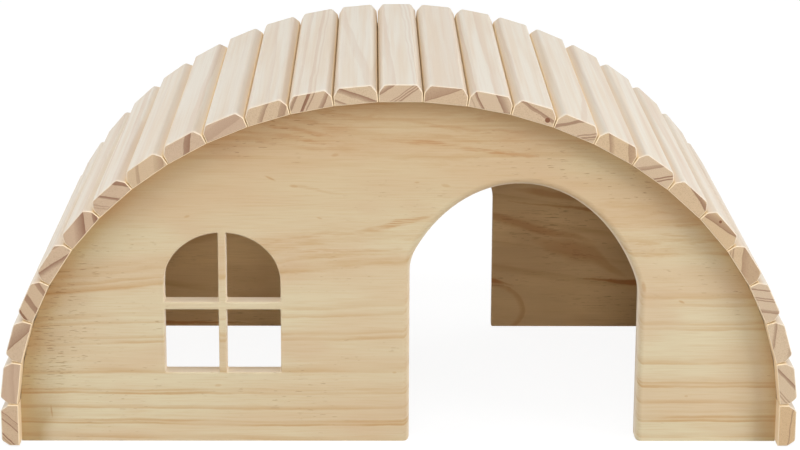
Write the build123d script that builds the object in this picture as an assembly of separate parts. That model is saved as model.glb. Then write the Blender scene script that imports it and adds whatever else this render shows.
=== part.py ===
from build123d import *
import os

# House for a small animal: two arched end boards that carry a curved roof of slats.
# Sizes are in mm. The front faces -Y, +X is to the right of someone who looks at it, +Z is up.
# The origin is on the ground, under the middle of the house.

# End boards: straight legs that turn into an elliptical arch
board_span = 267.6
board_leg_height = 11.5
board_arch_rise = 112.9
board_thickness = 6.5

# Roof slats, laid side by side over the curved edges of the boards
roof_length = 160.0
slat_count = 27
slat_thickness = 6.2
slat_seam = 0.2
slat_foot_clearance = 0.5
slat_bevel_width = 1.9
slat_bevel_depth = 2.7
slat_bevel_softening = 1.5
slat_end_arris = 0.3
front_overhang = 7.0
rear_overhang = 7.0

# Doorway of the front board
front_door_width = 80.4
front_door_x = 43.7
front_door_arch_base = 35.8
front_door_arch_rise = 58.0
front_door_arch_overrun = 4.8
front_door_arch_shift = -1.9
front_door_foot_radius = 1.5

# Doorway of the rear board
rear_door_width = 78.0
rear_door_x = 0.0
rear_door_arch_base = 35.8
rear_door_arch_rise = 58.0
rear_door_arch_overrun = 2.5
rear_door_arch_shift = 0.0
rear_door_foot_radius = 0.6

# Finish of both doorways
door_shoulder_radius = 16.0
door_round_over = 2.5

# Window of the front board, four panes between bars left in the wood
window_width = 40.8
window_x = -62.1
window_sill_height = 25.5
window_arch_base = 58.4
window_arch_rise = 18.0
window_bar_width = 2.7
window_bar_height = 49.9
window_corner_radius = 0.5
window_arris = 0.35

# How far a cutter runs past the face that it opens
cutter_margin = 2.0

# Degrees from one foot of the arch to the other, about the middle of the ellipse
half_turn = 180


# Places that follow from the sizes above
front_face_y = front_overhang - roof_length / 2
rear_face_y = roof_length / 2 - rear_overhang
half_span = board_span / 2


def arch_path():
    """Curved edge of an end board, from the left foot over the crown to the right foot."""
    left_leg = Line((-half_span, 0), (-half_span, board_leg_height))
    crown = EllipticalCenterArc(
        (0, board_leg_height), half_span, board_arch_rise, start_angle=half_turn, arc_size=-half_turn
    )
    right_leg = Line((half_span, board_leg_height), (half_span, 0))
    return Plane.XZ * Wire([left_leg.edge(), crown.edge(), right_leg.edge()])


def arched_opening(width, foot, arch_base, arch_rise):
    """Opening whose straight sides run smoothly into an elliptical arch."""
    arch = Pos(0, arch_base) * Ellipse(width / 2, arch_rise)
    below_arch = Pos(0, (foot + arch_base) / 2) * Rectangle(width, arch_base - foot)
    return arch + below_arch


def doorway_outline(width, arch_base, arch_rise, overrun, shift):
    """Straight jambs that meet an elliptical arch, a little wider than the jambs, at a softened corner."""
    arch = Pos(shift, 0) * arched_opening(width + 2 * overrun, -cutter_margin, arch_base, arch_rise)
    crown_height = arch_base + arch_rise
    jambs = Pos(0, crown_height / 2) * Rectangle(width, crown_height + 2 * cutter_margin)
    outline = jambs & arch
    shoulders = outline.vertices().sort_by(Axis.Y)[2:]
    return fillet(shoulders, door_shoulder_radius)


def cut_through(board, outline, front_y):
    """Saw an outline, drawn in X and Z, through a board whose front face is at front_y."""
    start = Plane.XZ.offset(cutter_margin - front_y)
    return board - extrude(start * outline, -(board_thickness + 2 * cutter_margin))


def edges_on_face(board, face_y, left, right, bottom, top):
    """Edges that lie in the face at face_y, inside a box given in X and Z."""
    on_face = board.edges().filter_by_position(Axis.Y, face_y, face_y)
    in_width = on_face.filter_by_position(Axis.X, left, right)
    return in_width.filter_by_position(Axis.Z, bottom, top)


def end_board(front_y):
    """Plain board with the arched outline."""
    arch = arch_path()
    base = Line(arch @ 1, arch @ 0)
    outline = Face(Wire([*arch.edges(), base.edge()]))
    return extrude(Pos(0, front_y, 0) * outline, board_thickness, dir=(0, 1, 0))


def add_doorway(board, front_y, x, width, arch_base, arch_rise, overrun, shift, foot_radius, show_face_y):
    """Doorway that is open to the ground, rounded over on the face that shows."""
    outline = doorway_outline(width, arch_base, arch_rise, overrun, shift)
    board = cut_through(board, Pos(x, 0) * outline, front_y)
    reach = width / 2 + door_round_over
    rim = edges_on_face(board, show_face_y, x - reach, x + reach, 0, arch_base + arch_rise)
    rim = rim.filter_by(lambda edge: edge.center().Z > 0)
    board = fillet(rim, door_round_over)
    for side in (-1, 1):
        jamb_x = x + side * width / 2
        corner = Pos(jamb_x + side * foot_radius / 2, foot_radius / 2) * Rectangle(foot_radius, foot_radius)
        rounding = Pos(jamb_x + side * foot_radius, foot_radius) * Circle(foot_radius)
        board = cut_through(board, corner - rounding, front_y)
    return board


def window_panes():
    """Four openings that leave an upright and a level bar between them."""
    outline = arched_opening(window_width, window_sill_height, window_arch_base, window_arch_rise)
    top = window_arch_base + window_arch_rise
    upright = Pos(0, top / 2) * Rectangle(window_bar_width, top + cutter_margin)
    level = Pos(0, window_bar_height) * Rectangle(window_width + cutter_margin, window_bar_width)
    panes = outline - upright - level
    corners = panes.vertices().filter_by(
        lambda corner: corner.Y < window_bar_height + window_bar_width or abs(corner.X) < window_bar_width
    )
    return fillet(corners, window_corner_radius)


def front_wall():
    board = end_board(front_face_y)
    board = add_doorway(
        board, front_face_y, front_door_x, front_door_width, front_door_arch_base,
        front_door_arch_rise, front_door_arch_overrun, front_door_arch_shift, front_door_foot_radius,
        front_face_y,
    )
    board = cut_through(board, Pos(window_x, 0) * window_panes(), front_face_y)
    reach = window_width / 2 + cutter_margin
    top = window_arch_base + window_arch_rise + cutter_margin
    rim = edges_on_face(
        board, front_face_y, window_x - reach, window_x + reach, window_sill_height - cutter_margin, top
    )
    return chamfer(rim, window_arris)


def rear_wall():
    inner_face_y = rear_face_y - board_thickness
    board = end_board(inner_face_y)
    return add_doorway(
        board, inner_face_y, rear_door_x, rear_door_width, rear_door_arch_base,
        rear_door_arch_rise, rear_door_arch_overrun, rear_door_arch_shift, rear_door_foot_radius,
        rear_face_y,
    )


def slat_section(width):
    """Flat seat, square lower sides and bevelled outer edges; Y is the outward direction."""
    half = width / 2
    shoulder = slat_thickness - slat_bevel_depth
    corners = [
        (-half, 0),
        (half, 0),
        (half, shoulder),
        (half - slat_bevel_width, slat_thickness),
        (slat_bevel_width - half, slat_thickness),
        (-half, shoulder),
    ]
    section = Polygon(*corners, align=None)
    bevel_corners = section.vertices().filter_by(lambda corner: corner.Y > 0)
    return fillet(bevel_corners, slat_bevel_softening)


def roof_slats():
    """Equal slats, each flat on the arch at its own middle, at equal steps along the arch."""
    arch = arch_path()
    step = (arch.length - 2 * slat_foot_clearance) / slat_count
    section = slat_section(step - slat_seam)
    blank = extrude(section, roof_length / 2, both=True)
    ends = blank.faces().filter_by(Axis.Z)
    blank = chamfer(ends.edges(), slat_end_arris)
    slats = []
    for index in range(slat_count):
        along = slat_foot_clearance + (index + 0.5) * step
        seat = arch.position_at(along, position_mode=PositionMode.LENGTH)
        direction = arch.tangent_at(along, position_mode=PositionMode.LENGTH)
        slats.append(Plane(origin=seat, x_dir=direction, z_dir=(0, -1, 0)) * blank)
    return slats


def build():
    nodes = {"front_wall": front_wall(), "rear_wall": rear_wall()}
    for number, slat in enumerate(roof_slats(), start=1):
        nodes[f"roof_slat_{number:02d}"] = slat
    return nodes


os.makedirs("parts", exist_ok=True)
for name, solid in build().items():
    export_step(solid, f"parts/{name}.step")
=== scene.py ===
"""Looks of the arched pine house: wood for every board and slat, a pale floor, soft light and the camera.

Sizes on the object are in mm, in the part's own frame: the front faces -Y, +X is to the right, +Z is up.
"""
import math

import bpy
import numpy as np
from mathutils import Matrix, Vector

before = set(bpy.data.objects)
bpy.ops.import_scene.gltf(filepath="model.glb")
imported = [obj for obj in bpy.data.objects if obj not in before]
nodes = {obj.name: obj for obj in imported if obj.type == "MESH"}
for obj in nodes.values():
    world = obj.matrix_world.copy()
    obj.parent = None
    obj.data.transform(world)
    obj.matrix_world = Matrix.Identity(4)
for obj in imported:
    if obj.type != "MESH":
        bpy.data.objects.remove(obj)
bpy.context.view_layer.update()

MM = 0.001  # one millimetre, in the scene's metres


def srgb(red, green, blue):
    """Linear colour of an sRGB colour given from 0 to 255."""
    values = [channel / 255 for channel in (red, green, blue)]
    linear = [v / 12.92 if v <= 0.04045 else ((v + 0.055) / 1.055) ** 2.4 for v in values]
    return (*linear, 1.0)


# ---------------------------------------------------------------- shader nodes

# Sockets of a Mix node that hold colours: two go in, one comes out
MIX_COLOUR_A = 6
MIX_COLOUR_B = 7
MIX_COLOUR_RESULT = 2


class Graph:
    """Short calls that add shader nodes to a tree and join them."""

    def __init__(self, tree):
        self.tree = tree

    def add(self, kind, **settings):
        """Adds a node and gives it its settings."""
        node = self.tree.nodes.new(kind)
        for name, value in settings.items():
            setattr(node, name, value)
        return node

    def feed(self, socket, value):
        """Joins an output to a socket, or writes a plain value on it."""
        if isinstance(value, bpy.types.NodeSocket):
            self.tree.links.new(value, socket)
        else:
            socket.default_value = value

    def feed_all(self, sockets, values):
        """Feeds the first sockets their values, in turn."""
        for socket, value in zip(sockets, values):
            self.feed(socket, value)

    def math(self, operation, *values):
        """Math node on one to three numbers."""
        node = self.add("ShaderNodeMath", operation=operation)
        self.feed_all(node.inputs, values)
        return node.outputs[0]

    def fold(self, operation, values):
        """Joins two or more numbers by an operation, from the first to the last."""
        total = values[0]
        for value in values[1:]:
            total = self.math(operation, total, value)
        return total

    def plus(self, *values):
        """Sum of two or more numbers."""
        return self.fold("ADD", values)

    def minus(self, a, b):
        """The first number less the second."""
        return self.math("SUBTRACT", a, b)

    def times(self, *values):
        """Product of two or more numbers."""
        return self.fold("MULTIPLY", values)

    def over(self, a, b):
        """The first number divided by the second."""
        return self.math("DIVIDE", a, b)

    def greatest(self, *values):
        """Greatest of two or more numbers."""
        return self.fold("MAXIMUM", values)

    def radius(self, a, b):
        """How far the point (a, b) is from (0, 0)."""
        return self.math("SQRT", self.math("MULTIPLY_ADD", a, a, self.times(b, b)))

    def vector(self, operation, *values):
        """Vector Math node; DOT_PRODUCT and LENGTH give a number, the others a vector."""
        node = self.add("ShaderNodeVectorMath", operation=operation)
        self.feed_all(node.inputs, values)
        return node.outputs["Value" if operation in ("DOT_PRODUCT", "LENGTH") else "Vector"]

    def parts(self, vector):
        """The x, y and z of a vector."""
        node = self.add("ShaderNodeSeparateXYZ")
        self.feed(node.inputs[0], vector)
        return node.outputs

    def placed(self, vector, origin=(0.0, 0.0, 0.0), turn=0.0, size=(1.0, 1.0, 1.0)):
        """The vector in a frame with its own origin, turned about Y and scaled."""
        node = self.add("ShaderNodeMapping", vector_type="TEXTURE")
        self.feed(node.inputs["Vector"], vector)
        self.feed(node.inputs["Location"], origin)
        self.feed(node.inputs["Rotation"], (0.0, turn, 0.0))
        self.feed(node.inputs["Scale"], size)
        return node.outputs[0]

    def noise(self, place, grains, detail=2.0):
        """Noise from 0 to 1, with so many grains a mm along x, y and z."""
        node = self.add("ShaderNodeTexNoise", noise_dimensions="3D")
        self.feed(node.inputs["Vector"], self.vector("MULTIPLY", place, grains))
        self.feed(node.inputs["Scale"], 1.0)
        self.feed(node.inputs["Detail"], detail)
        return node.outputs[0]

    def wander(self, value, place, waves):
        """Adds noise to a value; each wave is its grains a mm and about how far it goes up and down."""
        for grains, amount in waves:
            centred = self.minus(self.noise(place, grains), 0.5)
            value = self.plus(value, self.times(centred, 2 * amount))
        return value

    def ramp(self, value, low, high, start=0.0, end=1.0, shape="SMOOTHSTEP"):
        """Goes from start to end while the value goes from low to high, also where high is below low."""
        node = self.add("ShaderNodeMapRange", interpolation_type=shape)
        self.feed_all(node.inputs, (value, low, high, start, end))
        return node.outputs[0]

    def patches(self, place, grains, low, high, start=0.0, end=1.0, detail=2.0):
        """Goes from start to end while a noise of so many grains a mm goes from low to high."""
        return self.ramp(self.noise(place, grains, detail), low, high, start, end)

    def mix(self, share, a, b, blend="MIX"):
        """Colour a, with colour b laid over it by its share."""
        node = self.add("ShaderNodeMix", data_type="RGBA", blend_type=blend)
        self.feed(node.inputs[0], share)
        self.feed(node.inputs[MIX_COLOUR_A], a)
        self.feed(node.inputs[MIX_COLOUR_B], b)
        return node.outputs[MIX_COLOUR_RESULT]

    def coats(self, colour, *coats):
        """Lays coats over a colour, in turn; each coat is its share and its colour."""
        for share, coat in coats:
            colour = self.mix(share, colour, coat)
        return colour

    def colour_ramp(self, value, low, high, stops):
        """Colour ramp over low to high; each stop is (place, (red, green, blue))."""
        node = self.add("ShaderNodeValToRGB")
        elements = node.color_ramp.elements
        while len(elements) > 1:
            elements.remove(elements[-1])
        for index, (place, colour) in enumerate(sorted(stops)):
            position = (place - low) / (high - low)
            element = elements[0] if index == 0 else elements.new(position)
            element.position = position
            element.color = (*colour, 1.0)
        self.feed(node.inputs[0], self.ramp(value, low, high, shape="LINEAR"))
        return node.outputs[0]

    def group(self, tree, values):
        """Node that runs a group on values given by socket name."""
        node = self.add("ShaderNodeGroup", node_tree=tree)
        for name, value in values.items():
            self.feed(node.inputs[name], value)
        return node.outputs


def new_group(name, inputs, outputs):
    """Node group with the given sockets; returns its tree, graph, inputs and outputs."""
    tree = bpy.data.node_groups.new(name, "ShaderNodeTree")
    for label, kind in inputs.items():
        tree.interface.new_socket(label, in_out="INPUT", socket_type=kind)
    for label, kind in outputs.items():
        tree.interface.new_socket(label, in_out="OUTPUT", socket_type=kind)
    graph = Graph(tree)
    return tree, graph, graph.add("NodeGroupInput").outputs, graph.add("NodeGroupOutput").inputs


def new_material(name):
    """Material with a Principled shader; returns the material, its graph and the shader."""
    material = bpy.data.materials.new(name)
    material.use_nodes = True
    return material, Graph(material.node_tree), material.node_tree.nodes["Principled BSDF"]


def dress(node_name, material):
    """Gives a CAD node its material in every slot."""
    for slot in nodes[node_name].material_slots:
        slot.material = material


def millimetres(graph):
    """Place on the object in mm, and its normal, both in the part's own frame."""
    texture = graph.add("ShaderNodeTexCoord")
    return graph.vector("MULTIPLY", texture.outputs["Object"], (1 / MM,) * 3), texture.outputs["Normal"]


# Specular level of raw wood, which shines less than the shader does by itself
WOOD_SPECULAR = 0.3


def finish_shader(graph, shader, colour, roughness, height, depth):
    """Plain matt wood: colour, roughness and a fine relief of the given depth in mm."""
    graph.feed(shader.inputs["Base Color"], colour)
    graph.feed(shader.inputs["Roughness"], roughness)
    shader.inputs["Specular IOR Level"].default_value = WOOD_SPECULAR
    bump = graph.add("ShaderNodeBump")
    bump.inputs["Strength"].default_value = 1.0
    bump.inputs["Distance"].default_value = depth * MM
    graph.feed(bump.inputs["Height"], height)
    graph.feed(shader.inputs["Normal"], bump.outputs[0])


# ---------------------------------------------------------------- dark bands of late wood

# A colour ramp holds 32 stops: two ends and four for each band
BANDS_IN_A_RAMP = 7


def band_stops(low, high, bands, soft):
    """Stops of a grey ramp that is dark inside the bands; bands are (start, end, darkness at each)."""
    stops = {low: 0.0, high: 0.0}
    rising = [band if band[0] < band[1] else (band[1], band[0], band[3], band[2]) for band in bands]
    for start, end, first, last in rising:
        for place, dark in ((start - soft, 0.0), (start, first), (end, last), (end + soft, 0.0)):
            in_a_band = any(other[0] < place < other[1] for other in rising)
            if low < place < high and dark >= stops.get(place, 0.0) and (dark > 0.0 or not in_a_band):
                stops[place] = dark
    return [(place, (dark,) * 3) for place, dark in stops.items()]


def band_darkness(graph, value, low, high, bands, soft):
    """Darkness of the wood at a value, from any number of bands."""
    ramps = []
    for first in range(0, len(bands), BANDS_IN_A_RAMP):
        stops = band_stops(low, high, bands[first:first + BANDS_IN_A_RAMP], soft)
        ramps.append(graph.colour_ramp(value, low, high, stops))
    return graph.greatest(*ramps)


# ---------------------------------------------------------------- end boards

FRONT_COLOURS = {
    "early": srgb(214, 200, 167),
    "warm": srgb(210, 188, 154),
    "pink": srgb(206, 179, 146),
    "late": srgb(188, 144, 88),
    "pore": srgb(164, 118, 72),
    "fibre": srgb(196, 162, 116),
    "mark": srgb(184, 132, 74),
}
# Colours of the rear board, paler and warmer than the front's: partly its own tone, partly painted light
# that brightens the inside, which lies in shade
REAR_COLOURS_WITH_PAINTED_LIGHT = {
    "early": srgb(248, 210, 153),
    "warm": srgb(234, 196, 142),
    "pink": srgb(216, 174, 124),
    "late": srgb(190, 136, 78),
    "pore": srgb(160, 110, 66),
    "fibre": srgb(214, 172, 122),
    "mark": srgb(200, 138, 80),
}
# Pale colour of the cut edges: partly the cut wood's own colour, partly painted light that stands in for the
# light on the window sills and bars
BOARD_CUT_WITH_PAINTED_LIGHT = srgb(248, 232, 208)

# Painted shade over a board's face, a tint that darkens it: the front toward the crown under the roof, the
# rear's inside toward the right.
# Axis (0 is x, 2 is z), where it starts and ends in mm, and the tint
FRONT_PAINTED_SHADE = (2, 50.0, 112.0, (0.93, 0.86, 0.79, 1.0))
REAR_PAINTED_SHADE = (0, -45.0, 15.0, (0.87, 0.86, 0.86, 1.0))

# Outer face of the front board, and the arch that both boards share
FRONT_FACE_Y = -73.0
ARCH_HALF_SPAN = 133.8
ARCH_LEG = 11.5
ARCH_RISE = 112.9

# Pith of the front board's tree, in mm. Left of FRONT_BEND_X it bends toward the board, by FRONT_BEND times
# the square of the way, and climbs by FRONT_BEND_CLIMB times the bend.
FRONT_PITH_Y = -174.0
FRONT_PITH_Z = 93.0
FRONT_BEND_X = 15.0
FRONT_BEND_SOFTNESS = 12.0
FRONT_BEND = 0.00042
FRONT_BEND_CLIMB = 1.18
# Toward the right the front board's rings stand higher: over these x and z, by this much, in mm
FRONT_RISE_X = (5.0, 85.0)
FRONT_RISE_Z = (0.0, 70.0)
FRONT_RISE = (1.0, 4.4)
# Pith of the rear board's tree. It goes through this point and falls toward the right.
REAR_PITH_X = 39.0
REAR_PITH_Y = 78.0
REAR_PITH_Z = 11.0
REAR_PITH_SLOPE = -0.16

# Late wood of the boards, by the distance to the pith in mm: start, end, darkness at each
FRONT_BANDS = [
    (136.0, 137.0, 0.25, 0.50), (132.95, 133.35, 0.60, 0.85), (132.15, 132.6, 0.45, 0.78),
    (130.9, 131.4, 0.05, 0.15), (128.6, 129.4, 0.15, 0.62), (125.45, 125.9, 0.50, 0.82),
    (124.8, 125.15, 0.40, 0.65), (123.4, 124.6, 0.03, 0.15), (119.6, 121.2, 0.10, 0.62),
    (118.2, 118.8, 0.02, 0.08), (115.8, 116.9, 0.02, 0.06), (114.3, 114.85, 0.15, 0.65),
    (113.3, 113.9, 0.10, 0.50), (110.5, 111.0, 0.10, 0.50), (109.0, 109.8, 0.15, 0.45),
    (106.4, 107.4, 0.02, 0.08), (104.3, 105.0, 0.25, 0.75), (103.5, 103.9, 0.30, 0.50),
    (102.2, 102.7, 0.30, 0.55), (101.5, 101.8, 0.25, 0.35), (139.5, 141.0, 0.20, 0.60),
    (143.5, 145.0, 0.20, 0.60),
]
REAR_BANDS = [
    (17.0, 19.0, 0.10, 0.50), (26.0, 27.5, 0.05, 0.30), (35.5, 38.0, 0.05, 0.45),
    (44.0, 46.0, 0.05, 0.35), (52.5, 56.0, 0.05, 0.55), (62.0, 64.0, 0.05, 0.35),
    (71.0, 74.0, 0.05, 0.50), (80.5, 82.0, 0.05, 0.35), (88.5, 91.0, 0.05, 0.50),
    (96.0, 97.5, 0.05, 0.35), (103.0, 105.5, 0.05, 0.50), (111.0, 113.0, 0.05, 0.40),
    (119.0, 121.0, 0.05, 0.50), (126.0, 128.0, 0.05, 0.40),
]
# How softly a band begins and ends, and how far the ramps reach past the first and last band, in mm
BOARD_BAND_SOFTNESS = 0.18
BAND_MARGIN = 1.0

# Patches in the wood of the boards: grains a mm along x, y and z, and the noise where a patch sets in and is
# full. Rings and streaks are left at full strength in a patch of theirs and fainter between them.
FULL_RINGS = {"grains": (0.026, 0.20, 0.22), "low": 0.34, "high": 0.64, "start": 0.35}
UNBROKEN_RINGS = {"grains": (0.12, 0.9, 1.6), "low": 0.36, "high": 0.60}
UNBROKEN_STREAKS = {"grains": (0.14, 1.0, 2.8), "low": 0.38, "high": 0.60, "start": 0.20, "detail": 3.0}
WARM_PATCHES = {"grains": (0.012, 0.05, 0.055), "low": 0.36, "high": 0.64}
PINK_PATCHES = {"grains": (0.022, 0.05, 0.05), "low": 0.50, "high": 0.68}
PINK_SHIFT = (90.0, 0.0, 30.0)
CLOUDS = {"grains": (0.012, 0.30, 0.45), "low": 0.52, "high": 0.72}
PORE_PATCHES = {"grains": (0.02, 0.06, 0.06), "low": 0.42, "high": 0.62}
# Noises of the pores and fibres: grains a mm, and where on the noise they show
PORE_GRAINS = (0.24, 1.3, 2.8)
PORE_EDGE = (0.68, 0.76)
FIBRE_GRAINS = (0.07, 2.0, 2.0)
FIBRE_EDGE = (0.40, 0.78)
# Waves in the rings and in the streaks: grains a mm, and how far each moves the wood in mm
RING_WAVES = [((0.012, 0.02, 0.03), 0.9), ((0.045, 0.10, 0.15), 0.45)]
FEATHER_WAVES = [((0.16, 0.5, 0.8), 0.34), ((0.45, 1.5, 3.0), 0.22)]
FRONT_STREAK_WAVES = [((0.10, 0.3, 0.3), 1.0), ((0.35, 1.0, 3.5), 0.55)]
REAR_STREAK_WAVES = [((0.05, 0.05, 0.10), 1.2), ((0.35, 0.5, 0.9), 0.45)]

# Heights over which the wood changes, in mm: its rings get ragged, it has more pores, and dark cloudy
# patches grow, which near the crown also serve as painted shade under the roof
RAGGED_HEIGHTS = (50.0, 82.0)
PORE_HEIGHTS = (76.0, 96.0)
CLOUD_HEIGHTS = (92.0, 118.0)
# What the ragged and the cloudy heights change, from below to above: the share of the feather waves, the
# strength that is left in the breaks of a ring, and the share of the clouds, which is part grain and part
# painted shade
FEATHER_SHARE = (0.35, 1.0)
BROKEN_STRENGTH = (0.85, 0.40)
CLOUD_AND_PAINTED_SHADE_SHARE = (0.07, 0.50)
# Left end of the boards, where pores are dense: x, and the heights where it begins and ends
LEFT_END_X = (-98.0, -122.0)
LEFT_END_FOOT = (12.0, 26.0)
LEFT_END_TOP = (80.0, 66.0)
# What is added to the pore noise: near the crown, at the left end, and all over the rear board
CROWN_PORES = 0.018
LEFT_END_PORES = 0.07
REAR_PORES = 0.055

# Offset that gives the rear board a noise of its own, in mm
REAR_SEED = 410.0

# Shares of the colours that are laid over the early wood
PINK_SHARE = 0.55
FIBRE_SHARE = 0.30
PORE_SHARE = 0.45
# Share of the pale colour on cut edges, which is partly painted light, and what a ring of this darkness
# leaves of it
CUT_SHARE = 0.95
CUT_RING_DARKNESS = 0.9
CUT_RING_SHARE = 0.35
# How far a surface's normal points to the front or back, from 0 to 1: where the surface turns into the face
# of the board, and where it stops being a cut edge
FACE_FACING = (0.85, 0.97)
CUT_FACING = (0.15, 0.90)

# Painted shade under the roof, from ambient occlusion: how far off a surface still shades the wood in mm, by
# how many samples that is told, how open to the light the wood is where the painted shade begins and where
# it is full, and the tint of the painted shade
CORNER_REACH = 18.0
CORNER_SAMPLES = 8
CORNER_OPENNESS = (0.97, 0.55)
PAINTED_SHADE_TINT = (0.72, 0.62, 0.47, 1.0)
# The painted shade lies near the arch: how far out, as a part of the way from the middle to the arch, it
# begins and is full, and how much farther out it lies near the floor, over these heights in mm
NEAR_ARCH = (0.82, 0.90)
NEAR_FLOOR_HEIGHTS = (2.0, 20.0)
NEAR_FLOOR_SHIFT = 0.09
# Strength of the painted shade at the left foot and from there on, over this part of the half span
LEFT_FOOT = (-1.0, -0.6)
LEFT_FOOT_STRENGTH = (1.8, 0.92)

# Roughness of the early and the late wood. Relief of fibres and pores, as shares of its depth in mm.
BOARD_ROUGHNESS = (0.62, 0.5)
FIBRE_RELIEF = 0.6
PORE_RELIEF = 0.8
BOARD_RELIEF = 0.12

# Small marks in the face of the front board: x, z, half length, half height in mm, tilt in degrees, darkness
FRONT_MARKS = [
    (-74.0, 82.3, 1.4, 0.6, 15, 0.35), (-45.0, 96.0, 2.6, 0.5, -25, 0.45), (-36.7, 93.2, 2.2, 0.7, -5, 0.40),
    (-22.5, 104.3, 1.8, 0.8, 10, 0.30), (5.8, 94.6, 1.2, 0.4, 0, 0.35), (15.8, 93.5, 2.2, 0.8, -10, 0.30),
    (-28.0, 81.8, 1.4, 0.4, -15, 0.35), (-1.7, 25.5, 1.0, 0.5, 0, 0.35), (99.0, 51.6, 1.5, 0.6, -25, 0.45),
    (101.7, 16.8, 0.9, 0.5, 0, 0.30), (-64.0, 20.7, 1.6, 0.7, 5, 0.30), (-123.0, 11.0, 0.35, 3.0, 6, 0.50),
    (85.6, 57.0, 1.0, 2.8, 12, 0.32),
]
# How far a mark reaches into the board in mm, and where its edge fades, as a part of its half size
MARK_DEPTH = 3.0
MARK_EDGE = (0.35, 1.0)
# Streaks of dark wood in the faces of the boards that show. Each goes through points given as x, z, half
# thickness in mm and darkness.
FRONT_STREAKS = [
    [(-54.0, 116.1, 0.6, 0.45), (-39.2, 113.8, 0.8, 0.50), (-28.5, 111.7, 0.9, 0.55),
     (-20.0, 109.9, 0.4, 0.00)],
    [(-58.0, 112.9, 0.5, 0.30), (-40.0, 110.9, 0.7, 0.35), (-31.0, 109.2, 0.8, 0.50),
     (-22.0, 107.8, 0.4, 0.00)],
    [(-50.0, 109.3, 0.8, 0.20), (-30.0, 106.5, 0.8, 0.30), (-14.0, 106.0, 0.6, 0.10)],
    [(-14.0, 110.4, 0.5, 0.00), (0.0, 109.2, 0.7, 0.35), (8.0, 108.9, 0.9, 0.60), (14.0, 108.2, 0.9, 0.55),
     (22.0, 107.0, 0.4, 0.00)],
    [(15.0, 107.3, 0.5, 0.00), (25.0, 106.3, 0.8, 0.50), (35.5, 105.2, 0.9, 0.60), (48.0, 104.0, 0.6, 0.25)],
    [(0.0, 116.5, 0.5, 0.00), (12.0, 114.6, 0.6, 0.35), (21.3, 113.5, 0.8, 0.40), (36.0, 113.2, 0.7, 0.35),
     (46.0, 112.6, 0.4, 0.00)],
    [(-49.9, 71.8, 0.9, 0.25), (-38.5, 74.0, 0.8, 0.30), (-25.7, 76.5, 0.7, 0.35), (-17.9, 76.2, 0.6, 0.25),
     (-12.9, 77.1, 0.9, 0.30), (-5.8, 78.6, 1.2, 0.50), (-1.5, 80.0, 1.2, 0.65), (4.2, 80.9, 1.0, 0.60),
     (9.2, 82.0, 0.7, 0.35), (14.0, 83.6, 0.4, 0.00)],
    [(-40.0, 69.0, 0.5, 0.00), (-32.1, 70.2, 0.6, 0.35), (-22.8, 70.0, 0.6, 0.30), (-11.5, 70.0, 0.6, 0.35),
     (1.0, 71.0, 0.5, 0.20)],
    [(-37.7, 93.2, 0.5, 0.20), (-28.5, 92.1, 0.5, 0.30), (-16.6, 89.8, 0.4, 0.00)],
    [(86.0, 76.6, 0.5, 0.00), (94.0, 76.0, 0.6, 0.35), (108.0, 75.8, 0.5, 0.10)],
    [(82.0, 84.2, 0.5, 0.00), (90.0, 83.8, 0.8, 0.35), (102.0, 83.0, 0.6, 0.10)],
]
REAR_STREAKS = [
    [(34.0, 47.5, 1.6, 0.45), (45.0, 44.6, 2.2, 0.60), (60.0, 40.2, 1.8, 0.60), (72.0, 38.0, 1.4, 0.45),
     (82.0, 34.5, 1.0, 0.00)],
    [(54.0, 37.0, 1.0, 0.00), (61.0, 34.5, 3.4, 0.40), (71.0, 32.5, 5.0, 0.55), (80.0, 30.5, 4.0, 0.45),
     (87.0, 25.0, 1.8, 0.40), (94.0, 21.0, 1.0, 0.10)],
    [(76.0, 20.2, 0.2, 0.40), (84.0, 19.8, 0.6, 0.90), (90.0, 18.9, 1.1, 1.10), (99.0, 18.0, 1.7, 1.20)],
    [(45.0, 52.6, 0.2, 0.20), (60.0, 51.2, 0.4, 0.50), (70.0, 50.2, 0.6, 0.60), (82.0, 48.4, 1.0, 0.80)],
    [(46.0, 57.4, 0.6, 0.00), (56.0, 57.0, 1.5, 0.60), (70.0, 54.5, 1.8, 0.55), (80.0, 52.0, 1.0, 0.00)],
    [(-98.0, 1.9, 1.0, 1.00), (-84.0, 1.8, 0.7, 0.90), (-72.0, 1.5, 0.5, 0.80), (-56.0, 1.1, 0.2, 0.30)],
    [(-98.0, 33.0, 0.8, 0.10), (-86.0, 37.0, 2.8, 0.30), (-72.0, 38.4, 1.7, 0.30), (-58.0, 38.0, 0.6, 0.00)],
    [(36.0, 20.0, 1.3, 1.25), (40.5, 19.4, 1.1, 1.20), (44.0, 18.2, 0.5, 0.60), (48.0, 16.8, 0.3, 0.20)],
]
# Greatest height in mm that a streak's colour ramp can hold
STREAK_RANGE = 128.0
# Where a streak's edge fades, as a part of its half thickness
STREAK_EDGE = (0.35, 1.3)
# Ring of dark wood round a knot of the rear board: x, z, radius along x and along z in mm
REAR_LOOP = (36.5, 7.0, 15.9, 11.5)
# Inner and outer edge of that ring, as parts of its radius, and its darkness
LOOP_INNER_EDGE = (0.83, 0.97)
LOOP_OUTER_EDGE = (1.0, 1.05)
LOOP_DARKNESS = 0.46


def pith_distance_front(graph, place):
    """Distance to the pith, which runs in front of the board and nears it toward the left end."""
    x, y, z = graph.parts(place)
    rise = graph.times(graph.ramp(x, *FRONT_RISE_X), graph.ramp(z, *FRONT_RISE_Z, *FRONT_RISE, "LINEAR"))
    run = graph.math("SMOOTH_MAX", graph.minus(FRONT_BEND_X, x), 0.0, FRONT_BEND_SOFTNESS)
    bend = graph.times(run, run, FRONT_BEND)
    away = graph.minus(graph.minus(y, FRONT_PITH_Y), bend)
    pith_height = graph.math("MULTIPLY_ADD", bend, FRONT_BEND_CLIMB, FRONT_PITH_Z)
    return graph.radius(away, graph.minus(graph.minus(z, rise), pith_height))


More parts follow.
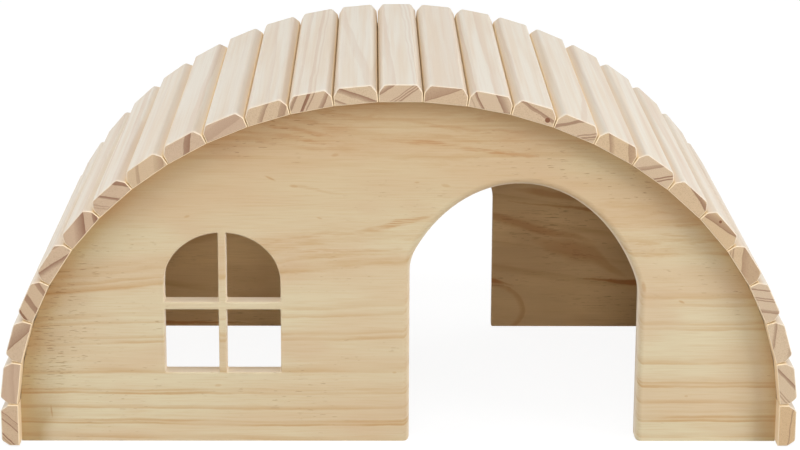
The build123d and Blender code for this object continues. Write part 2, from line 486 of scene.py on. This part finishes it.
def pith_distance_rear(graph, place):
    """Distance to the pith, which runs behind the board and slopes down to the right."""
    x, y, z = graph.parts(place)
    slope = graph.times(graph.minus(x, REAR_PITH_X), REAR_PITH_SLOPE)
    pith_height = graph.plus(slope, REAR_PITH_Z)
    return graph.radius(graph.minus(REAR_PITH_Y, y), graph.minus(z, pith_height))


def streak_mask(graph, x, z, points):
    """Darkness of a streak that goes through the points."""
    low, high = points[0][0], points[-1][0]
    course = [(at, (height / STREAK_RANGE, half / STREAK_RANGE, dark)) for at, height, half, dark in points]
    height, half, dark = graph.parts(graph.colour_ramp(x, low, high, course))
    gap = graph.math("ABSOLUTE", graph.minus(z, graph.times(height, STREAK_RANGE)))
    share = graph.over(gap, graph.times(half, STREAK_RANGE))
    inside = graph.times(graph.math("GREATER_THAN", x, low), graph.math("LESS_THAN", x, high))
    return graph.times(graph.ramp(share, *STREAK_EDGE, 1.0, 0.0), dark, inside)


def front_marks(graph, place):
    """Darkness of the small marks and the broken streaks in the front face."""
    masks = []
    for x, z, half_length, half_height, tilt, dark in FRONT_MARKS:
        size = (half_length, MARK_DEPTH, half_height)
        spot = graph.placed(place, (x, FRONT_FACE_Y, z), math.radians(-tilt), size)
        masks.append(graph.ramp(graph.vector("LENGTH", spot), *MARK_EDGE, dark, 0.0))
    x, _, z = graph.parts(place)
    z = graph.wander(z, place, FRONT_STREAK_WAVES)
    streaks = graph.greatest(*[streak_mask(graph, x, z, points) for points in FRONT_STREAKS])
    return graph.greatest(*masks, graph.times(streaks, graph.patches(place, **UNBROKEN_STREAKS)))


def rear_marks(graph, place):
    """Darkness of the streaks and of the ring round the knot of the rear board."""
    x, _, z = graph.parts(place)
    z = graph.wander(z, place, REAR_STREAK_WAVES)
    masks = [streak_mask(graph, x, z, points) for points in REAR_STREAKS]
    loop_x, loop_z, reach_x, reach_z = REAR_LOOP
    radius = graph.radius(
        graph.over(graph.minus(x, loop_x), reach_x), graph.over(graph.minus(z, loop_z), reach_z))
    inner = graph.ramp(radius, *LOOP_INNER_EDGE, 0.0, LOOP_DARKNESS)
    outer = graph.ramp(radius, *LOOP_OUTER_EDGE, 1.0, 0.0)
    return graph.greatest(*masks, graph.times(inner, outer))


def painted_corner_shade(graph, place, colour):
    """Painted shade: deepens and warms the wood's colour close under the roof, where ambient occlusion finds
    it closed in, most of all at the left foot of the arch.
    """
    node = graph.add("ShaderNodeAmbientOcclusion", samples=CORNER_SAMPLES)
    node.inputs["Distance"].default_value = CORNER_REACH * MM
    corner = graph.ramp(node.outputs["AO"], *CORNER_OPENNESS, shape="LINEAR")
    x, _, z = graph.parts(place)
    near_floor = graph.ramp(z, *NEAR_FLOOR_HEIGHTS, NEAR_FLOOR_SHIFT, 0.0)
    x = graph.over(x, ARCH_HALF_SPAN)
    z = graph.over(graph.greatest(graph.minus(z, ARCH_LEG), 0.0), ARCH_RISE)
    near_arch = graph.ramp(graph.minus(graph.radius(x, z), near_floor), *NEAR_ARCH)
    strength = graph.ramp(x, *LEFT_FOOT, *LEFT_FOOT_STRENGTH)
    return graph.mix(graph.times(corner, near_arch, strength), colour, PAINTED_SHADE_TINT, "MULTIPLY")


def board_late_wood(graph, place, shifted, pith_distance, bands):
    """Darkness of the growth rings: bands round the pith that waver, fade and break, more so higher up."""
    ragged = graph.ramp(graph.parts(place)[2], *RAGGED_HEIGHTS)
    distance = graph.wander(pith_distance(graph, place), shifted, RING_WAVES)
    feather = graph.wander(0.0, shifted, FEATHER_WAVES)
    distance = graph.plus(distance, graph.times(feather, graph.ramp(ragged, 0.0, 1.0, *FEATHER_SHARE)))
    low = min(band[0] for band in bands) - BAND_MARGIN
    high = max(band[1] for band in bands) + BAND_MARGIN
    late = band_darkness(graph, distance, low, high, bands, BOARD_BAND_SOFTNESS)
    full = graph.patches(shifted, **FULL_RINGS)
    faintest = graph.ramp(ragged, 0.0, 1.0, *BROKEN_STRENGTH)
    return graph.times(late, full, graph.patches(shifted, start=faintest, **UNBROKEN_RINGS))


def board_pores(graph, place, shifted, more_pores):
    """Resin pores, in patches; there are more of them near the crown, and most at the left end."""
    x, _, z = graph.parts(place)
    left_end = graph.times(
        graph.ramp(x, *LEFT_END_X), graph.ramp(z, *LEFT_END_FOOT), graph.ramp(z, *LEFT_END_TOP))
    more = graph.ramp(z, *PORE_HEIGHTS, more_pores, more_pores + CROWN_PORES)
    more = graph.math("MULTIPLY_ADD", left_end, LEFT_END_PORES, more)
    pores = graph.ramp(graph.plus(graph.noise(shifted, PORE_GRAINS, detail=1.0), more), *PORE_EDGE)
    return graph.times(pores, graph.greatest(graph.patches(shifted, **PORE_PATCHES), left_end))


def board_material(name, colours, bands, pith_distance, marks, tone, more_pores, seed):
    """Sawn pine: drifting colour, growth rings, fibres, pores and marks on its face, painted shade under the
    roof and along the face, and paler cut edges that are partly painted light.
    """
    material, graph, shader = new_material(name)
    place, normal = millimetres(graph)
    shifted = graph.vector("ADD", place, (seed, 2 * seed, 3 * seed))
    late = board_late_wood(graph, place, shifted, pith_distance, bands)
    pores = board_pores(graph, place, shifted, more_pores)
    fibre = graph.noise(shifted, FIBRE_GRAINS, detail=3.0)
    pink = graph.patches(graph.vector("ADD", shifted, PINK_SHIFT), **PINK_PATCHES)
    cloud_and_painted_shade_share = graph.ramp(graph.parts(place)[2], *CLOUD_HEIGHTS, *CLOUD_AND_PAINTED_SHADE_SHARE)

    colour = graph.coats(
        colours["early"],
        (graph.patches(shifted, **WARM_PATCHES), colours["warm"]),
        (graph.times(pink, PINK_SHARE), colours["pink"]),
        # Dark cloudy patches: grain, and toward the crown also painted shade under the roof
        (graph.times(graph.patches(shifted, **CLOUDS), cloud_and_painted_shade_share), colours["late"]),
        (late, colours["late"]),
        (graph.ramp(fibre, *FIBRE_EDGE, 0.0, FIBRE_SHARE), colours["fibre"]),
        (graph.times(pores, PORE_SHARE), colours["pore"]),
        (marks(graph, place), colours["mark"]),
    )
    # Painted shade: the tint darkens the board's colour along one axis
    axis, low, high, tint = tone
    colour = graph.mix(graph.ramp(graph.parts(place)[axis], low, high), colour, tint, "MULTIPLY")
    facing = graph.math("ABSOLUTE", graph.parts(normal)[1])
    cut = graph.ramp(facing, *CUT_FACING, CUT_SHARE, 0.0)
    early = graph.ramp(late, 0.0, CUT_RING_DARKNESS, 1.0, CUT_RING_SHARE, "LINEAR")
    colour = graph.coats(
        colour,
        # Painted shade under the roof, on the board's face
        (graph.ramp(facing, *FACE_FACING), painted_corner_shade(graph, place, colour)),
        # Pale cut edges, partly painted light
        (graph.times(cut, early), BOARD_CUT_WITH_PAINTED_LIGHT),
    )
    roughness = graph.ramp(late, 0.0, 1.0, *BOARD_ROUGHNESS)
    relief = graph.minus(graph.times(fibre, FIBRE_RELIEF), graph.times(pores, PORE_RELIEF))
    finish_shader(graph, shader, colour, roughness, relief, BOARD_RELIEF)
    return material


# ---------------------------------------------------------------- roof slats

SLAT_SIDE = srgb(235, 227, 213)
SLAT_SIDE_WARM = srgb(230, 215, 195)
SLAT_SIDE_LATE = srgb(206, 174, 150)
# Tan on the bevels along the seams: partly the wood's colour, partly painted shade of the valleys between
# slats
SLAT_BEVEL_TINT_AND_SHADE = srgb(224, 188, 142)
# Painted light: a pale warm colour in the grooves between slats, where little light gets in
SLAT_SEAM_PAINTED_LIGHT = srgb(250, 228, 190)
SLAT_SEAT = srgb(242, 218, 182)
SLAT_END = srgb(209, 187, 158)
SLAT_END_TAN = srgb(204, 172, 130)
SLAT_END_PINK = srgb(196, 168, 144)
SLAT_END_LATE = srgb(130, 86, 62)
# Painted highlight on the upper arrises round the slat ends
SLAT_ARRIS_HIGHLIGHT = srgb(240, 222, 194)

SLAT_LENGTH = 160.0
SLAT_FRONT_Y = -80.0
SLAT_THICKNESS = 6.2
SLAT_HALF_WIDTH = 7.50
# A point inside the arch, x and z in mm: a slat's outward side is the one that faces away from it
INSIDE_THE_ARCH = (0.0, 10.0)

# Patches in the wood of the slats: grains a mm across the slat, along it and outward, and the noise where a
# patch sets in and is full
SLAT_STREAKS = {"grains": (0.35, 0.008, 0.35), "low": 0.35, "high": 0.7}
SLAT_SPECKS = {"grains": (2.4, 0.2, 2.4), "low": 0.70, "high": 0.80, "detail": 1.0}
SLAT_DOTS = {"grains": (3.0, 1.1, 3.0), "low": 0.66, "high": 0.74, "detail": 1.0}
# Noises of the fibres and of the pores in the end grain: grains a mm, where on the noise they show, and the
# share of dark wood that they add
SLAT_FIBRE_GRAINS = (1.4, 0.02, 1.4)
SLAT_FIBRE_EDGE = (0.45, 0.8)
SLAT_FIBRE_SHARE = 0.16
SLAT_PORE_GRAINS = (4.0, 0.5, 4.0)
SLAT_PORE_EDGE = (0.45, 0.75)
SLAT_PORE_SHARE = 0.30
# Shares of the colours laid over the sides and over the ends of the slats
SIDE_RING_SHARE = 0.42
SPECK_SHARE = 0.25
SIDE_TAN_SHARE = 0.35
BEVEL_SHARE = 0.28
SEAM_PAINTED_LIGHT_SHARE = 0.85
DOT_SHARE = 0.35
END_PINK_SHARE = 0.8
END_RING_SHARE = 0.96
ARRIS_HIGHLIGHT_SHARE = 0.28
# Where the parts of a slat begin and are full: how far the surface's normal points along the slat, from 0 to
# 1, heights over the seat in mm, and distances from the slat's edge in mm, negative inward
END_FACING = (0.85, 0.95)
ARRIS_FACING = (0.3, 0.5)
ARRIS_HEIGHTS = (0.8, 3.0)
SEAT_HEIGHTS = (0.05, 0.5)
SEAM_HEIGHTS = (4.2, 3.2)
SEAM_EDGE = (-0.9, -0.05)
BEVEL_EDGE = (-1.8, -0.2)
# Roughness of the sides and of the ends
SLAT_ROUGHNESS = (0.6, 0.75)
# Waves in the rings of the slats: grains a mm, and how far each moves a ring in mm
SLAT_WAVES = [
    ((0.09, 0.006, 0.09), 0.9),
    ((0.02, 0.020, 0.02), 0.9),
    ((0.35, 0.030, 0.35), 0.22),
    ((1.2, 0.1, 1.2), 0.10),
]
# Offset, times the slat's number, that gives each slat a noise of its own, in mm
SLAT_SHIFT = (37.0, 211.0, 53.0)
# How softly a band begins and ends, and the depth of the relief of fibres and pores, in mm
SLAT_BAND_SOFTNESS = 0.15
SLAT_RELIEF = 0.08

# End grain of each slat. Angle of the rings to the flat side in degrees, drift of the grain over the slat's
# length in mm, how tan and how pink the wood is, and dark bands across the rings in mm from its middle:
# start, end, darkness at each.
SLAT_GRAIN = {
    1: (48, 1.0, 0.5, 0.5, [
        (4.3, 4.0, 0.95, 0.8), (5.2, 4.9, 0.5, 0.4), (0.2, 0.0, 0.9, 0.7),
        (-0.15, -1.65, 0.1, 0.25), (-1.8, -2.0, 0.7, 0.8)]),
    2: (5, 0.5, 0.5, 1.0, [(-1.0, 0.6, 0.18, 0.05)]),
    3: (-34, 2.0, 0.2, 0.4, [(0.3, 0.6, 0.90, 0.6), (0.6, 5.0, 0.25, 0.15)]),
    4: (56, 0.5, 0.4, 0.4, [(6.3, 5.0, 0.7, 0.95), (1.6, 0.0, 0.6, 0.7), (-4.1, -5.4, 0.5, 0.7)]),
    5: (-23, 1.5, 0.3, 0.6, [(-0.1, -1.8, 0.85, 0.1), (3.8, 4.8, 0.4, 0.3)]),
    6: (48, 1.0, 0.6, 0.9, [(-1.8, 1.8, 0.85, 0.1), (-5.0, -6.4, 0.6, 0.9), (6.3, 7.2, 0.5, 0.5)]),
    7: (-48, 1.5, 0.3, 0.7, [
        (-0.8, -0.1, 0.5, 0.9), (4.5, 6.8, 0.8, 0.6), (-3.4, -3.7, 0.35, 0.3), (-4.2, -4.5, 0.3, 0.3)]),
    8: (60, 1.0, 0.4, 0.1, [(3.3, 2.2, 0.3, 0.4), (-3.4, -6.5, 0.1, 0.5)]),
    9: (57, 2.5, 0.2, 0.7, [(0.0, -2.1, 0.6, 0.8)]),
    10: (12, 0.5, 0.4, 1.0, [(-0.9, 2.5, 0.25, 0.12)]),
    11: (54, -2.0, 0.3, 0.2, [(0.1, 1.5, 0.65, 0.15), (5.6, 6.6, 0.6, 0.5), (-4.2, -6.5, 0.4, 0.6)]),
    12: (54, 1.5, 0.2, 0.4, [
        (5.7, 4.9, 0.5, 0.7), (1.9, 1.0, 0.95, 0.85), (0.1, -0.2, 0.6, 0.6), (-3.4, -4.8, 0.3, 0.8)]),
    13: (-24, 5.0, 0.2, 0.1, [(0.8, -0.9, 0.85, 0.25), (-3.8, -4.4, 0.75, 0.3), (4.6, 5.6, 0.35, 0.55)]),
    14: (36, -2.0, 0.2, 0.4, [
        (3.6, 4.8, 0.75, 0.25), (-0.3, -0.5, 0.6, 0.5), (-1.1, -1.35, 0.7, 0.6), (-1.9, -2.2, 0.7, 0.6)]),
    15: (25, 1.0, 0.4, 0.3, [(0.6, 0.9, 0.75, 0.5), (0.9, 5.0, 0.4, 0.25)]),
    16: (-52, 1.0, 0.1, 0.3, [(-3.7, -2.9, 0.4, 0.9), (2.2, 4.8, 0.75, 0.1), (-5.3, -5.6, 0.35, 0.3)]),
    17: (-17, 1.0, 0.3, 0.3, [(0.5, 0.75, 0.6, 0.5), (0.75, 1.3, 0.45, 0.5), (1.3, 1.5, 0.7, 0.6)]),
    18: (32, 5.0, 0.2, 0.3, [
        (2.0, 1.1, 0.65, 0.65), (-3.2, -3.5, 0.65, 0.5), (-4.1, -4.5, 0.75, 0.6), (-4.9, -5.2, 0.5, 0.4)]),
    19: (-56, 2.0, 0.5, 0.0, [(-2.5, -1.1, 0.6, 0.15), (3.8, 6.2, 0.5, 0.35)]),
    20: (45, 1.0, 0.2, 0.3, [(2.1, 1.0, 0.3, 0.6), (-2.7, -3.0, 0.85, 0.8), (-3.6, -3.9, 0.85, 0.8)]),
    21: (-15, 0.5, 0.5, 0.1, [(2.1, 3.4, 0.8, 0.5)]),
    22: (16, 0.5, 0.6, 0.0, [(0.7, 0.95, 0.85, 0.6), (0.95, 3.5, 0.25, 0.2)]),
    23: (-36, 1.0, 0.5, 0.0, [
        (-1.1, 1.5, 0.55, 0.3), (1.5, 5.0, 0.3, 0.3), (-4.6, -4.9, 0.65, 0.5), (-5.4, -5.7, 0.5, 0.4)]),
    24: (58, 0.5, 0.0, 0.3, [
        (4.4, 4.7, 0.85, 0.6), (1.3, 1.6, 0.75, 0.5), (0.4, 0.7, 0.65, 0.6), (-2.8, -3.9, 0.3, 0.7)]),
    25: (-20, 1.0, 0.1, 0.1, [(-1.75, -2.7, 0.7, 0.2), (3.2, 5.0, 0.2, 0.45)]),
    26: (38, 1.0, 0.1, 0.1, [(1.5, 0.5, 0.8, 0.4), (-3.9, -4.2, 0.55, 0.4), (-4.8, -5.2, 0.5, 0.4)]),
    27: (-6, 0.5, 0.8, 0.0, [(1.1, 1.4, 0.6, 0.4)]),
}
# How far the bands may be from the middle of the end grain, in mm
RING_REACH = 9.0
# Small knots in the slats: distance from the middle, height over the seat and radius, in mm
SLAT_KNOTS = {17: (4.9, 1.95, 1.0), 22: (-2.05, 4.8, 0.6)}
# Reach of a knot along the slat in mm, where its edge fades, as a part of its radius, and its darkness
KNOT_REACH = 6.0
KNOT_EDGE = (0.75, 1.05)
KNOT_DARKNESS = 1.2


def slat_place(name):
    """Middle of a slat's seat and its width direction, x and z in mm."""
    points = np.array([vertex.co for vertex in nodes[name].data.vertices])[:, [0, 2]] / MM
    middle = points.mean(axis=0)
    width = np.linalg.eigh(np.cov((points - middle).T)).eigenvectors[:, 1]
    outward = np.array([-width[1], width[0]])
    if outward @ (middle - INSIDE_THE_ARCH) < 0:
        width, outward = -width, -outward
    across, out = points @ width, points @ outward
    return width * (across.min() + across.max()) / 2 + outward * out.min(), width


def slat_wood_group():
    """Shared look of the slats: colour, roughness and relief from the place on the slat and its rings."""
    tree, graph, given, made = new_group(
        "slat_wood",
        {"Local": "NodeSocketVector", "Place": "NodeSocketVector", "Normal": "NodeSocketVector",
         "Rings": "NodeSocketFloat", "Tan": "NodeSocketFloat", "Pink": "NodeSocketFloat"},
        {"Colour": "NodeSocketColor", "Roughness": "NodeSocketFloat", "Height": "NodeSocketFloat"},
    )
    place, rings = given["Place"], given["Rings"]
    across, _, out = graph.parts(given["Local"])
    facing_end = graph.math("ABSOLUTE", graph.parts(given["Normal"])[1])
    end_face = graph.ramp(facing_end, *END_FACING)
    # Painted highlight: a pale line on the upper arrises of the end faces
    arris_highlight = graph.times(
        graph.ramp(facing_end, *ARRIS_FACING), graph.ramp(facing_end, *END_FACING, 1.0, 0.0),
        graph.ramp(out, *ARRIS_HEIGHTS))
    edge = graph.minus(graph.math("ABSOLUTE", across), SLAT_HALF_WIDTH)
    seam = graph.times(graph.ramp(edge, *SEAM_EDGE), graph.ramp(out, *SEAM_HEIGHTS))
    bevel_tint_and_shade = graph.ramp(edge, *BEVEL_EDGE, 0.0, BEVEL_SHARE)
    seat = graph.ramp(out, *SEAT_HEIGHTS, 1.0, 0.0)

    fibre = graph.noise(place, SLAT_FIBRE_GRAINS, detail=3.0)
    pore = graph.noise(place, SLAT_PORE_GRAINS)

    side = graph.coats(
        SLAT_SIDE,
        (graph.patches(place, **SLAT_STREAKS), SLAT_SIDE_WARM),
        (graph.times(rings, SIDE_RING_SHARE), SLAT_SIDE_LATE),
        (graph.ramp(fibre, *SLAT_FIBRE_EDGE, 0.0, SLAT_FIBRE_SHARE), SLAT_SIDE_LATE),
        (graph.times(graph.patches(place, **SLAT_SPECKS), SPECK_SHARE), SLAT_SIDE_LATE),
        (graph.times(given["Tan"], SIDE_TAN_SHARE), SLAT_SIDE_WARM),
        # Bevels: wood tint and painted shade of the valleys between slats
        (bevel_tint_and_shade, SLAT_BEVEL_TINT_AND_SHADE),
        # Painted light in the grooves between slats, then dark dots of grain there
        (graph.times(seam, SEAM_PAINTED_LIGHT_SHARE), SLAT_SEAM_PAINTED_LIGHT),
        (graph.times(seam, graph.patches(place, **SLAT_DOTS), DOT_SHARE), SLAT_END_LATE),
        (seat, SLAT_SEAT),
    )
    end = graph.coats(
        SLAT_END,
        (given["Tan"], SLAT_END_TAN),
        (graph.times(given["Pink"], END_PINK_SHARE), SLAT_END_PINK),
        (graph.times(rings, END_RING_SHARE), SLAT_END_LATE),
        (graph.ramp(pore, *SLAT_PORE_EDGE, 0.0, SLAT_PORE_SHARE), SLAT_END_LATE),
    )
    colour = graph.coats(side, (end_face, end), (graph.times(arris_highlight, ARRIS_HIGHLIGHT_SHARE), SLAT_ARRIS_HIGHLIGHT))
    graph.feed(made["Colour"], colour)
    graph.feed(made["Roughness"], graph.ramp(end_face, 0.0, 1.0, *SLAT_ROUGHNESS))
    graph.feed(made["Height"], graph.mix(end_face, fibre, pore))
    return tree


def slat_rings(graph, number, local, shifted):
    """Darkness of the rings of a slat, and of its knot if it has one."""
    angle, drift, _, _, bands = SLAT_GRAIN[number]
    tilt = math.radians(angle)
    direction = (-math.sin(tilt), drift / SLAT_LENGTH, math.cos(tilt))
    middle = direction[2] * SLAT_THICKNESS / 2 + direction[1] * SLAT_FRONT_Y
    ring_place = graph.minus(graph.vector("DOT_PRODUCT", local, direction), middle)
    ring_place = graph.wander(ring_place, shifted, SLAT_WAVES)
    rings = band_darkness(graph, ring_place, -RING_REACH, RING_REACH, bands, SLAT_BAND_SOFTNESS)
    if number not in SLAT_KNOTS:
        return rings
    across, out, radius = SLAT_KNOTS[number]
    knot = graph.placed(local, (across, SLAT_FRONT_Y, out), size=(radius, KNOT_REACH, radius))
    knot_darkness = graph.ramp(graph.vector("LENGTH", knot), *KNOT_EDGE, KNOT_DARKNESS, 0.0)
    return graph.greatest(rings, knot_darkness)


def slat_material(name, group):
    """Pine of one slat: its own rings and tone, in the slats' shared look."""
    number = int(name[-2:])
    _, _, tan, pink, _ = SLAT_GRAIN[number]
    material, graph, shader = new_material(f"pine_{name}")
    place, normal = millimetres(graph)
    seat, width = slat_place(name)
    turn = math.atan2(-width[1], width[0])
    local = graph.placed(place, (seat[0], 0.0, seat[1]), turn)
    shifted = graph.vector("ADD", local, [step * number for step in SLAT_SHIFT])
    wood = graph.group(group, {
        "Local": local, "Place": shifted, "Normal": graph.placed(normal, turn=turn),
        "Rings": slat_rings(graph, number, local, shifted), "Tan": tan, "Pink": pink,
    })
    finish_shader(graph, shader, wood["Colour"], wood["Roughness"], wood["Height"], SLAT_RELIEF)
    return material


# ---------------------------------------------------------------- stage

# Floor: how far it reaches from the house in metres, its grey to the light and to the eye, and its glow
FLOOR_REACH = 6.0
FLOOR_GREY = (0.58, 0.58, 0.58, 1.0)
FLOOR_SEEN_GREY = (0.14, 0.14, 0.14, 1.0)
FLOOR_GLOW = 0.92

WORLD_COLOUR = (1.0, 1.0, 1.0, 1.0)
WORLD_LIGHT = 0.15

# Square soft boxes: name, place in metres, side in metres, watts
LAMPS = [
    ("front_light", (0.0, -1.1, 1.7), 1.2, 12.0),
    ("left_light", (-1.55, -0.7, 0.5), 0.8, 10.2),
    ("right_light", (1.45, -0.9, 0.5), 0.8, 16.0),
    ("top_light", (0.0, 0.3, 2.0), 1.0, 9.5),
    ("back_left_light", (-1.2, 1.2, 0.9), 0.8, 3.5),
    ("back_right_light", (1.2, 1.2, 0.9), 0.8, 2.0),
    ("low_light", (-0.02, -1.8, 0.42), 0.4, 5.4),
]
# The point that every lamp looks at, in metres
LAMP_TARGET = Vector((0.0, 0.0, 0.06))

# Camera: place in mm, angles in degrees, sensor width and focal length in mm
CAMERA_PLACE = Vector((-9.9, -933.85, 306.1))
CAMERA_SWING = -0.66
CAMERA_TILT = 75.245
CAMERA_ROLL = 0.26
SENSOR_WIDTH = 36.0
FOCAL_LENGTH = 115.2


def seen_directly(graph):
    """1 for what the camera sees directly or by reflection, 0 for light that falls on the object."""
    path = graph.add("ShaderNodeLightPath").outputs
    return graph.greatest(path["Is Camera Ray"], path["Is Glossy Ray"], path["Is Transmission Ray"])


def make_floor():
    """Pale floor that stays white to the camera and keeps a soft shadow of the house."""
    mesh = bpy.data.meshes.new("floor")
    corners = [(x * FLOOR_REACH, y * FLOOR_REACH, 0) for x, y in ((-1, -1), (1, -1), (1, 1), (-1, 1))]
    mesh.from_pydata(corners, [], [(0, 1, 2, 3)])
    floor = bpy.data.objects.new("floor", mesh)
    bpy.context.scene.collection.objects.link(floor)
    material = bpy.data.materials.new("pale_floor")
    material.use_nodes = True
    graph = Graph(material.node_tree)
    graph.tree.nodes.clear()
    lit = graph.add("ShaderNodeBsdfDiffuse")
    lit.inputs["Color"].default_value = FLOOR_GREY
    shaded = graph.add("ShaderNodeBsdfDiffuse")
    shaded.inputs["Color"].default_value = FLOOR_SEEN_GREY
    glow = graph.add("ShaderNodeEmission")
    glow.inputs["Strength"].default_value = FLOOR_GLOW
    white = graph.add("ShaderNodeAddShader")
    graph.feed_all(white.inputs, (shaded.outputs[0], glow.outputs[0]))
    blend = graph.add("ShaderNodeMixShader")
    graph.feed_all(blend.inputs, (seen_directly(graph), lit.outputs[0], white.outputs[0]))
    output = graph.add("ShaderNodeOutputMaterial")
    graph.feed(output.inputs[0], blend.outputs[0])
    mesh.materials.append(material)


def make_world():
    """White to the eye, and a soft even light on the object."""
    world = bpy.data.worlds.new("studio")
    bpy.context.scene.world = world
    world.use_nodes = True
    graph = Graph(world.node_tree)
    background = world.node_tree.nodes["Background"]
    background.inputs["Color"].default_value = WORLD_COLOUR
    strength = graph.ramp(seen_directly(graph), 0.0, 1.0, WORLD_LIGHT, 1.0, "LINEAR")
    graph.feed(background.inputs["Strength"], strength)


def make_lamp(name, place, size, watts):
    """Square soft box that looks at the house."""
    data = bpy.data.lights.new(name, "AREA")
    data.shape = "SQUARE"
    data.size = size
    data.energy = watts
    lamp = bpy.data.objects.new(name, data)
    lamp.location = place
    lamp.rotation_euler = (LAMP_TARGET - Vector(place)).to_track_quat("-Z", "Y").to_euler()
    bpy.context.scene.collection.objects.link(lamp)


def make_camera():
    """Long lens, a little above the house and almost straight in front of it."""
    data = bpy.data.cameras.new("camera")
    data.sensor_width = SENSOR_WIDTH
    data.lens = FOCAL_LENGTH
    camera = bpy.data.objects.new("camera", data)
    camera.location = CAMERA_PLACE * MM
    swing = Matrix.Rotation(math.radians(CAMERA_SWING), 3, "Z")
    tilt = Matrix.Rotation(math.radians(CAMERA_TILT), 3, "X")
    roll = Matrix.Rotation(math.radians(CAMERA_ROLL), 3, "Z")
    camera.rotation_euler = (swing @ tilt @ roll).to_euler()
    bpy.context.scene.collection.objects.link(camera)
    bpy.context.scene.camera = camera


# ---------------------------------------------------------------- scene

dress("front_wall", board_material(
    "pine_front_wall", FRONT_COLOURS, FRONT_BANDS, pith_distance_front, front_marks, FRONT_PAINTED_SHADE,
    more_pores=0.0, seed=0.0))
dress("rear_wall", board_material(
    "pine_rear_wall", REAR_COLOURS_WITH_PAINTED_LIGHT, REAR_BANDS, pith_distance_rear, rear_marks, REAR_PAINTED_SHADE,
    more_pores=REAR_PORES, seed=REAR_SEED))
wood_group = slat_wood_group()
for name in sorted(nodes):
    if name.startswith("roof_slat_"):
        dress(name, slat_material(name, wood_group))

make_floor()
make_world()
for lamp_settings in LAMPS:
    make_lamp(*lamp_settings)
make_camera()
bpy.context.scene.view_settings.view_transform = "Standard"
